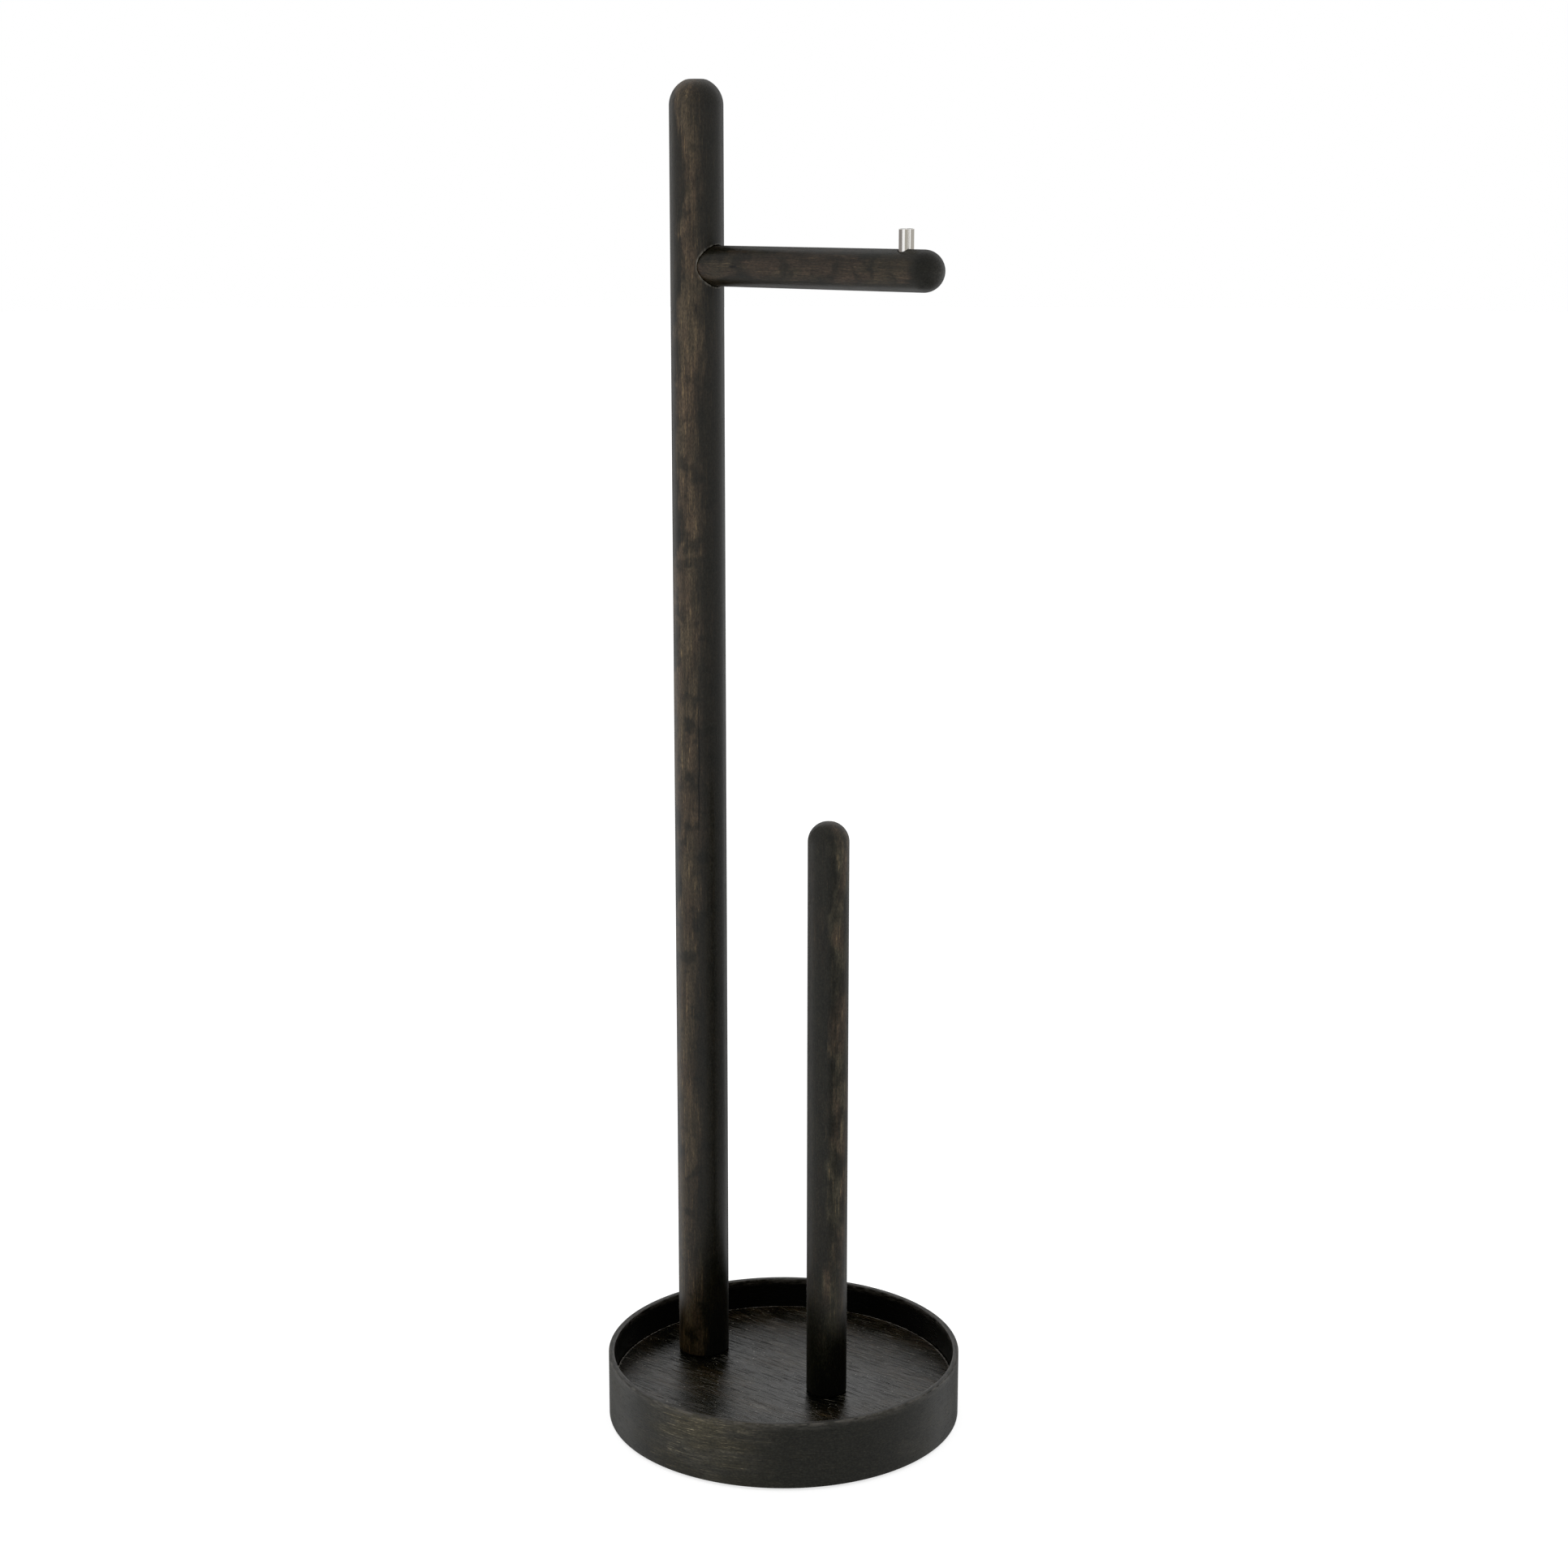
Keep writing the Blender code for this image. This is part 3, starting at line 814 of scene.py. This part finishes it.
def build_tall_post():
    """The tall post, with a counterbored seat for the arm and an eased edge where the two meet."""
    shape = bmesh.new()
    radius = TALL_RADIUS
    place = upright(TALL_AXIS)
    side = SEAT_SIDE
    half_turn = 2 * side
    cell = 2 * math.pi / POST_TURN * radius
    half_height = side * cell
    patch_rows = [ARM_Z - half_height + cell * i for i in range(half_turn + 1)]
    dome = tall_high.z + TALL_TIP_CUT - radius
    below = spaced(tall_low.z + FOOT_EASE, patch_rows[0], POST_ROW)[1:-1]
    above = spaced(patch_rows[-1], dome, POST_ROW)[1:-1]
    rows = below + patch_rows + above
    profile = post_profile(radius, tall_low.z, tall_high.z, TALL_TIP_CUT, rows)
    loops = turned_loops(shape, profile, POST_TURN, place)
    first_patch = profile.index((radius, patch_rows[0]))
    last_patch = first_patch + half_turn
    hidden = {i % POST_TURN for i in range(-side, side)}
    for k, (first, second) in enumerate(zip(loops, loops[1:])):
        if not first_patch <= k < last_patch:
            join_loops(shape, first, second)
            continue
        for i in range(POST_TURN):
            if i not in hidden:
                j = (i + 1) % POST_TURN
                shape.faces.new((first[i], first[j], second[j], second[i]))
    inside = [v for loop in loops[first_patch + 1:last_patch] for i, v in enumerate(loop)
              if (i + side - 1) % POST_TURN < half_turn - 1]
    rim, rim_flat = seat_rim(loops, first_patch, last_patch, side, cell)
    seat_patch(shape, rim, rim_flat, place)
    for v in inside:
        shape.verts.remove(v)
    warm = band_across(WARM_TURN, start=-0.0125, end=0.0, soft=0.0018, wander=0.0090,
                       fades=((0.020, 0.110, 0.40), (0.30, 0.48, 0.74)),
                       lean=(0.50, 0.0135, 0.38), cap=(0.60, 0.68, 0.0040), foot=(0.070, 0.100, 0.42))
    check = drying_check(WARM_TURN, -0.0004, 0.315, 0.425, 0.00028)
    # the pale colour on the eased edge round the seat is a painted highlight
    look = dict(LOOK, edge=SEAT_HIGHLIGHT_AND_TIP_WEAR)
    wood = stained_wood("tall_post_wood", rod_grain(TALL_AXIS), 1.7, warm, look, [check])
    wear_and_highlight = seat_highlight_and_wear(rod_wear(tall_high.z, dome))
    return finish_mesh("tall_post_body", shape, wood, wear_and_highlight)


def seat_rim(loops, low_row, high_row, side, cell):
    """The points round the square window left for the seat, from +Y round through +Z, with their place
    on the unrolled surface."""
    rim = []
    for k in range(low_row + side, high_row):
        rim.append((loops[k][side], (side, k - low_row - side)))
    for i in range(side, -side, -1):
        rim.append((loops[high_row][i % POST_TURN], (i, side)))
    for k in range(high_row, low_row, -1):
        rim.append((loops[k][-side % POST_TURN], (-side, k - low_row - side)))
    for i in range(-side, side):
        rim.append((loops[low_row][i % POST_TURN], (i, -side)))
    for k in range(low_row, low_row + side):
        rim.append((loops[k][side], (side, k - low_row - side)))
    return [v for v, flat in rim], [(a * cell, b * cell) for v, (a, b) in rim]


def seat_patch(shape, rim, rim_flat, place):
    """Fills the window: the post's surface down to the eased edge, the seat's wall and floor, and the
    stud's hole."""
    count = len(rim)
    radius = TALL_RADIUS
    bore = ARM_RADIUS + GAP
    mouth = bore + SEAT_EASE
    floor_x = arm_low.x - GAP - TALL_AXIS[0]
    hole = STUD_RADIUS + GAP
    hole_end = stud_low.x - GAP - TALL_AXIS[0]

    def on_surface(out, turn):
        y = out * math.cos(turn)
        return math.sqrt(radius * radius - y * y), y, out * math.sin(turn)

    turns = [2 * math.pi * i / count for i in range(count)]
    last = rim
    for ring in range(1, SEAT_BLEND_RINGS + 1):
        share = ring / SEAT_BLEND_RINGS
        share = share * (1.5 - 0.5 * share)
        loop = []
        for turn, (s, h) in zip(turns, rim_flat):
            x, y, z = on_surface(mouth, turn)
            goal = radius * math.asin(y / radius)
            across = s + (goal - s) * share
            up = h + (z - h) * share
            around = across / radius
            point = place(radius * math.cos(around), radius * math.sin(around), ARM_Z + up)
            loop.append(shape.verts.new(point))
        join_loops(shape, last, loop)
        last = loop
    for ring in range(1, SEAT_EASE_RINGS + 1):
        t = ring / SEAT_EASE_RINGS
        loop = []
        for turn in turns:
            start = Vector(on_surface(mouth, turn))
            corner = Vector(on_surface(bore, turn))
            end = corner - Vector((SEAT_EASE, 0.0, 0.0))
            p = start * (1 - t) ** 2 + corner * 2 * t * (1 - t) + end * t * t
            loop.append(shape.verts.new(place(p.x, p.y, ARM_Z + p.z)))
        join_loops(shape, last, loop)
        last = loop
    for out, x in ((bore, floor_x), (hole, floor_x), (hole, hole_end)):
        loop = []
        for turn in turns:
            loop.append(shape.verts.new(place(x, out * math.cos(turn), ARM_Z + out * math.sin(turn))))
        join_loops(shape, last, loop)
        last = loop
    join_loops(shape, last, [shape.verts.new(place(hole_end, 0.0, ARM_Z))])


def seat_highlight_and_wear(other):
    """Pale share on the tall post: wear at the tip, and a painted highlight along the eased edge round the
    arm.
    """

    def share(co):
        out = math.hypot(co.y - TALL_AXIS[1], co.z - ARM_Z)
        near = 1.0 - abs(out - (ARM_RADIUS + GAP + 0.5 * SEAT_EASE)) / SEAT_EASE
        outside = co.x > arm_low.x + SEAT_FLOOR
        edge = max(0.0, near) if outside and out < ARM_RADIUS + SEAT_REACH else 0.0
        return max(other(co), SEAT_HIGHLIGHT * edge)

    return share


def build_arm():
    """The level arm, round-ended, bored for its insert and for the two pins."""
    root = arm_low.x - TALL_AXIS[0]
    tip = arm_high.x - TALL_AXIS[0]
    insert_radius = (arm_insert_high.y - arm_insert_low.y) / 2 - INSERT_LIP + GAP
    depth = arm_insert_high.x - arm_insert_low.x + 3 * GAP
    flange = INSERT_FLANGE + GAP
    centre = tip - ARM_RADIUS
    profile = [(0.0, root + depth), (insert_radius, root + depth), (insert_radius, root + flange)]
    profile += [(insert_radius + INSERT_LIP, root + flange), (insert_radius + INSERT_LIP, root)]
    profile += [(ARM_RADIUS - ARM_ROOT_EASE, root), (ARM_RADIUS, root + ARM_ROOT_EASE)]
    profile += [(ARM_RADIUS, z) for z in spaced(root + ARM_ROOT_EASE, centre, ARM_ROW)[1:-1]]
    profile += arc(0.0, centre, ARM_RADIUS, 0, 90, DOME_STEPS)[:-1]
    profile += [(0.0, tip)]
    shape = bmesh.new()
    turn_solid(shape, profile, POST_TURN, level)
    look = dict(LOOK, fibre=(0.0011, 0.017), hair=(0.00050, 0.012), veil=(0.0040, 0.0140),
                brown_a=(0.092, 0.058, 0.038), gold=(0.200, 0.140, 0.080),
                smudge_floor=0.28, thin_gain=0.26, fleck_gain=0.16, sheen=0.165)
    warm = band_across(90.0, start=-0.0058, end=0.0060, soft=0.0024, wander=0.006,
                       fades=((0.093, 0.084, 0.0),))
    check = drying_check(-90.0, -0.0004, arm_low.x + 0.0225, arm_low.x + 0.0305, 0.0004)
    wood = stained_wood("roll_arm_wood", arm_grain, 9.1, warm, look, [check])
    arm = finish_mesh("roll_arm_body", shape, wood)
    for low, high in ((front_pin_low, front_pin_high), (rear_pin_low, rear_pin_high)):
        cut_away(arm, [drill(middle_of(low, high), PIN_RADIUS + PIN_CLEARANCE, low.z - PIN_CLEARANCE,
                             high.z + TOOL_REACH, wood)])
    store_wear_and_highlight(arm.data, arm_wear)
    return arm


def arm_wear(co):
    """Wear on the arm: a slight rub at the very tip."""
    tip = max(0.0, (co.x - (arm_high.x - ARM_RADIUS)) / ARM_RADIUS)
    return ARM_TIP_WEAR * tip ** 8


def drill(axis, out, low, high, material):
    """An upright round tool, to bore a hole with."""
    shape = bmesh.new()
    turn_solid(shape, [(0.0, low), (out, low), (out, high), (0.0, high)], PIN_TURN, upright(axis))
    return finish_mesh("drill", shape, material)


def cut_away(obj, tools):
    """Subtracts the tools from a piece, then removes them."""
    for tool in tools:
        cut = obj.modifiers.new("cut", "BOOLEAN")
        cut.operation = "DIFFERENCE"
        cut.solver = "EXACT"
        cut.object = tool
    bpy.context.view_layer.update()
    mesh = bpy.data.meshes.new_from_object(obj.evaluated_get(bpy.context.evaluated_depsgraph_get()))
    obj.modifiers.clear()
    old = obj.data
    obj.data = mesh
    bpy.data.meshes.remove(old)
    mesh.name = obj.name
    mesh.shade_smooth()
    mesh.set_sharp_from_angle(angle=SHARP)
    for tool in tools:
        bpy.data.objects.remove(tool, do_unlink=True)


def ring_rub(g, grain, seed, ragged):
    """Where the ring's stain is rubbed thin: most round one place on its outside, none inside."""
    shifted = g.plus(grain.along, g.plus(ragged, RUB_SHIFT))
    turn = g.times(shifted, 1 / RING_RADIUS)
    off = g.maths("ABSOLUTE", g.less(turn, math.radians(RUB_TURN)))
    near = g.step(off, 0.0, math.radians(RUB_HALF), 1.0, 0.0)
    foot = RING_SLANT * RING_RADIUS + ring_low.z
    near = g.times(near, g.step(grain.across_a, foot, foot + RUB_FOOT[0], RUB_FOOT[1], 1.0))
    patches = g.noise(grain.at(RUB_PATCH, seed + 5.0, ragged), 2.0, 0.5)
    rest = g.step(patches, *RUB_PATCH_SPAN, 0.0, RUB_PATCH_MOST)
    return g.times(g.maths("MAXIMUM", near, rest), unshaded_outside(g))


def unshaded_outside(g):
    """1 on the ring's outside and 0 on its inside, where the stain's lighter tones are held back as painted
    shade in the tray.
    """
    return g.step(span_from_middle(g), RING_RADIUS - RING_OUTSIDE[0], RING_RADIUS - RING_OUTSIDE[1])


def smooth_inside(g):
    """The ring's inside is smoother than its outside."""
    near, far = RING_INNER + RING_INSIDE[0], RING_INNER + RING_INSIDE[1]
    return g.step(span_from_middle(g), near, far, RING_INSIDE_SMOOTH, 0.0)


def build_ring():
    """The bent wooden wall of the tray, with both edges eased."""
    outer = RING_RADIUS
    inner = RING_INNER
    top = ring_high.z
    low = ring_low.z
    ease = RING_EASE
    profile = arc(outer - ease, top - ease, ease, 90, 0, EASE_STEPS)
    profile += [(outer, z) for z in spaced(top - ease, low + ease, POST_ROW)[1:-1]]
    profile += arc(outer - ease, low + ease, ease, 0, -90, EASE_STEPS)
    profile += arc(inner + ease, low + ease, ease, -90, -180, EASE_STEPS)
    profile += [(inner, z) for z in spaced(low + ease, top - ease, POST_ROW)[1:-1]]
    profile += arc(inner + ease, top - ease, ease, 180, 90, EASE_STEPS)
    shape = bmesh.new()
    turn_solid(shape, profile, RING_TURN, upright((0.0, 0.0)), closed=True)
    # the ring's inside keeps only the dark stain: painted shade in the tray
    look = dict(LOOK, fibre=(0.0010, 0.016), hair=(0.00036, 0.009), veil=(0.0060, 0.026), fray=0.006,
                fibre_swing=0.45, smudge_floor=0.75, smooth_side=smooth_inside, shown=unshaded_outside,
                thin_gain=0.40, gold_gain=1.7, brown_a=ASH, brown_b=OLIVE, gold=TAN, fleck_colour=TAN,
                fleck_gain=0.05, mottle_gain=0.09, rough=0.40, sheen=0.144)
    wood = stained_wood("base_ring_wood", ring_grain, 5.9, ring_rub, look)

    def wear_and_highlight(co):
        out = math.hypot(co.x, co.y)
        rim = max(0.0, 1.0 - (top - co.z) / (RIM_DEPTH * ease))
        corner = max(0.0, 1.0 - min(outer - out, out - inner) / (RIM_WIDTH * ease))
        return rim * corner

    return finish_mesh("base_ring_wall", shape, wood, wear_and_highlight)


def build_disc():
    """The tray floor, let into the ring, with a bolt hole under each post."""
    profile = [(0.0, disc_high.z)]
    profile += [(r, disc_high.z) for r in spaced(0.0, DISC_RADIUS - DISC_RIM, DISC_ROW)[1:]]
    profile += arc(DISC_RADIUS - DISC_EASE, disc_high.z - DISC_EASE, DISC_EASE, 90, 0, 4)
    profile += [(DISC_RADIUS, disc_low.z), (0.0, disc_low.z)]
    shape = bmesh.new()
    turn_solid(shape, profile, RING_TURN, upright((0.0, 0.0)))
    # the floor's lighter tones are held back at the posts' feet: painted shade
    look = dict(LOOK, fibre=(0.0013, 0.034), hair=(0.0006, 0.020), pore=(0.0005, 0.016), pore_dark=0.3,
                grit=(0.0009, 0.0035), fibre_swing=0.6, smudge_floor=0.5, shown=outside_foot_shade,
                smooth_side=smooth_by_posts, rough=0.27, rough_fibre=0.24, rough_pore=0.04, rough_rim=0.0,
                relief=0.00022, sheen=0.272, mottle=(0.0011, 0.0019), mottle_gain=0.06, thin_gain=0.10,
                fleck_gain=0.16, edge=PALE_RIM_LINE)
    scuffs = [scratches(12.0, 2.9, 0.26), scratches(-17.0, 5.3, 0.20), scratches(2.0, 8.4, 0.22),
              specks(0.0011, 0.60)]
    wood = stained_wood("base_disc_wood", disc_grain, 7.7, floor_rub, look, scuffs=scuffs)
    disc = finish_mesh("base_disc_floor", shape, wood)
    cut_away(disc, [drill(axis, BOLT_RADIUS + GAP, disc_low.z - TOOL_REACH, disc_high.z + TOOL_REACH, wood)
                    for axis in (TALL_AXIS, SPARE_AXIS)])
    store_wear_and_highlight(disc.data, disc_rim_line)
    return disc


def disc_rim_line(co):
    """A thin pale line round the tray floor's rim."""
    return RIM_LINE_SHARE * max(0.0, 1.0 - (DISC_RADIUS - math.hypot(co.x, co.y)) / RIM_LINE_WIDTH)


def build_pin(name, low, high, steel):
    """A steel pin with a chamfered tip and foot."""
    ease = PIN_CHAMFER
    profile = [(0.0, low.z), (PIN_RADIUS - ease, low.z), (PIN_RADIUS, low.z + ease)]
    profile += [(PIN_RADIUS, z) for z in spaced(low.z + ease, high.z - ease, PIN_ROW)[1:-1]]
    profile += [(PIN_RADIUS, high.z - ease), (PIN_RADIUS - 0.6 * ease, high.z - 0.25 * ease)]
    profile += [(PIN_RADIUS - ease, high.z), (0.0, high.z)]
    shape = bmesh.new()
    turn_solid(shape, profile, PIN_TURN, upright(middle_of(low, high)))
    return finish_mesh(name, shape, steel)


def keep(node, material):
    """A CAD node stays as it is and gets a procedural material."""
    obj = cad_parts[node]
    for i in range(len(obj.data.materials)):
        obj.data.materials[i] = material


def stand_for(piece, node):
    """A new piece rides on the body and replaces its CAD node, which is hidden."""
    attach(piece, "root")
    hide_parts(node)


stand_for(build_ring(), "base_ring")
stand_for(build_disc(), "base_disc")
stand_for(build_tall_post(), "tall_post")
stand_for(build_spare_post(), "spare_post")
stand_for(build_arm(), "roll_arm")
steel = pin_steel()
for node, low, high in (("stop_pin_front", front_pin_low, front_pin_high),
                        ("stop_pin_rear", rear_pin_low, rear_pin_high)):
    stand_for(build_pin(node + "_body", low, high, steel), node)

zinc = dull_metal("fixing_zinc", (0.62, 0.61, 0.57), (0.40, 0.40, 0.39), 0.38, 0.004)
for node in ("tall_post_bolt", "spare_post_bolt", "tall_post_insert", "spare_post_insert",
             "arm_insert", "arm_stud"):
    keep(node, zinc)
keep("ballast_plate", dull_metal("plate_mill_steel", (0.13, 0.13, 0.135), (0.07, 0.068, 0.066), 0.55, 0.02))
keep("base_pad", black_felt())


# ======== stage, light, camera
WHITE = (1.0, 1.0, 1.0)
FLOOR_GLOW = 0.72
FLOOR_TONE = (0.46, 0.46, 0.46)
STAGE_RADIUS = 14.0
STAGE_STEPS = 96
KEY_POWER = 2.0
KEY_SIZE = 1.3
KEY_PLACE = 1.5 * -CAMERA_RIGHT + Vector((0.35, -0.9, 1.15))
TOE = ((0.0039, 0.0015), (0.0078, 0.0051), (0.0117, 0.0097), (0.0156, 0.0150), (0.0200, 0.0200), (0.5, 0.5))

CARD_STEPS = 24
PIN_CARD_GAP = 0.0006  # from a pin's side to its card
PIN_CARD_DIP = 0.0018  # how far the card reaches down below the arm's crest
PIN_CAP_GAP = 0.0010
PIN_CAP_HOLE = 0.0001
PIN_CAP_TONE = (0.34, 0.33, 0.31)
FULL_TURN = (-180.0, 180.0)
PIN_CARDS = {
    "front": {"left": ((-178.0, -71.0), (0.27, 0.25, 0.235)), "right": ((-31.0, 31.0), (0.46, 0.44, 0.39))},
    "rear": {"right": ((-38.0, 76.0), (0.46, 0.44, 0.40))},
}
SIDE_CARD_REACH = 0.30
SIDE_CARD_TOP = 0.54
SIDE_CARD_TURNS = (-40.0, 88.0)
SIDE_CARD_TONE = (0.36, 0.36, 0.36)


def build_stage():
    """A wide white floor that also glows by itself, so that it stays white close to the tray."""
    shape = bmesh.new()
    centre = shape.verts.new((0.0, 0.0, cad_low.z))
    loop = []
    for i in range(STAGE_STEPS):
        turn = 2 * math.pi * i / STAGE_STEPS
        point = (STAGE_RADIUS * math.cos(turn), STAGE_RADIUS * math.sin(turn), cad_low.z)
        loop.append(shape.verts.new(point))
    join_loops(shape, [centre], loop)
    g = Graph("stage_white")
    g.surface(Base_Color=FLOOR_TONE, Roughness=0.9, Specular_IOR_Level=0.1,
              Emission_Color=WHITE, Emission_Strength=FLOOR_GLOW)
    finish_mesh("stage_floor", shape, g.material)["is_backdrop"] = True


def build_card(name, middle, reach, turns, heights, tone, rise=None):
    """A curved card that only reflections see. It stands in for a darker part of a real studio.

    reach and heights give its distance from the middle and its height, at its first and its last edge.
    rise gives the heights between which its tone goes up from its own to white.
    """
    shape = bmesh.new()
    rows = [[], []]
    for i in range(CARD_STEPS + 1):
        turn = math.radians(turns[0] + (turns[1] - turns[0]) * i / CARD_STEPS)
        for row, out, z in zip(rows, reach, heights):
            x = middle[0] + out * math.cos(turn)
            y = middle[1] + out * math.sin(turn)
            row.append(shape.verts.new((x, y, z)))
    for i in range(CARD_STEPS):
        shape.faces.new((rows[0][i], rows[0][i + 1], rows[1][i + 1], rows[1][i]))
    g = Graph(name + "_tone")
    if rise is not None:
        z = g.parts(g.position())[2]
        tone = g.mix(g.step(z, *rise, kind="LINEAR"), tone, WHITE)
    g.surface(Base_Color=(0.0, 0.0, 0.0), Specular_IOR_Level=0.0, Emission_Color=tone, Emission_Strength=1.0)
    card = finish_mesh(name, shape, g.material)
    card.visible_camera = False
    card.visible_diffuse = False
    card.visible_shadow = False
    card.visible_transmission = False
    card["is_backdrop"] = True


def build_cards():
    """Small cards close round the pins, and a wide one round the stand's +X and +Y sides."""
    for which, low, high in (("front", front_pin_low, front_pin_high), ("rear", rear_pin_low, rear_pin_high)):
        axis = middle_of(low, high)
        near = PIN_RADIUS + PIN_CARD_GAP
        heights = (ARM_Z + ARM_RADIUS - PIN_CARD_DIP, high.z + GAP)
        for side, (turns, tone) in PIN_CARDS[which].items():
            build_card("stage_card_" + which + "_" + side, axis, (near, near), turns, heights, tone)
        cap = high.z + PIN_CAP_GAP
        build_card("stage_card_" + which + "_cap", axis, (PIN_RADIUS, PIN_CAP_HOLE), FULL_TURN, (cap, cap),
                   PIN_CAP_TONE)
    heights = (cad_low.z, SIDE_CARD_TOP)
    build_card("stage_card_side", (0.0, 0.0), (SIDE_CARD_REACH, SIDE_CARD_REACH), SIDE_CARD_TURNS, heights,
               SIDE_CARD_TONE, rise=heights)


def build_light():
    """A white world, and one square area light aimed at the middle of the stand."""
    world = bpy.data.worlds.new("studio")
    bpy.context.scene.world = world
    world.use_nodes = True
    world.node_tree.nodes["Background"].inputs["Color"].default_value = (*WHITE, 1.0)
    light = bpy.data.lights.new("key", "AREA")
    light.shape = "SQUARE"
    light.size = KEY_SIZE
    light.energy = KEY_POWER
    obj = add_object("key", light)
    obj.location = KEY_PLACE
    middle = Vector((0.0, 0.0, (cad_low.z + cad_high.z) / 2))
    obj.rotation_euler = (middle - KEY_PLACE).to_track_quat("-Z", "Y").to_euler()


def build_camera():
    data = bpy.data.cameras.new("camera")
    data.sensor_width = SENSOR
    data.lens = CAMERA_LENS
    data.clip_start = 0.05
    data.clip_end = 60.0
    camera = add_object("camera", data)
    back = -CAMERA_AHEAD.normalized()
    up = back.cross(CAMERA_RIGHT).normalized()
    turn = Matrix((CAMERA_RIGHT, up, back)).transposed().to_4x4()
    camera.matrix_world = Matrix.Translation(CAMERA_PLACE) @ turn
    bpy.context.scene.camera = camera


def develop():
    """The photograph's deep blacks: a display curve with a short toe."""
    view = bpy.context.scene.view_settings
    view.view_transform = "Standard"
    view.use_curve_mapping = True
    curve = view.curve_mapping.curves[3]
    for light, shown in TOE:
        curve.points.new(light, shown)
    view.curve_mapping.update()


build_stage()
build_cards()
build_light()
build_camera()
develop()

low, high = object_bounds()
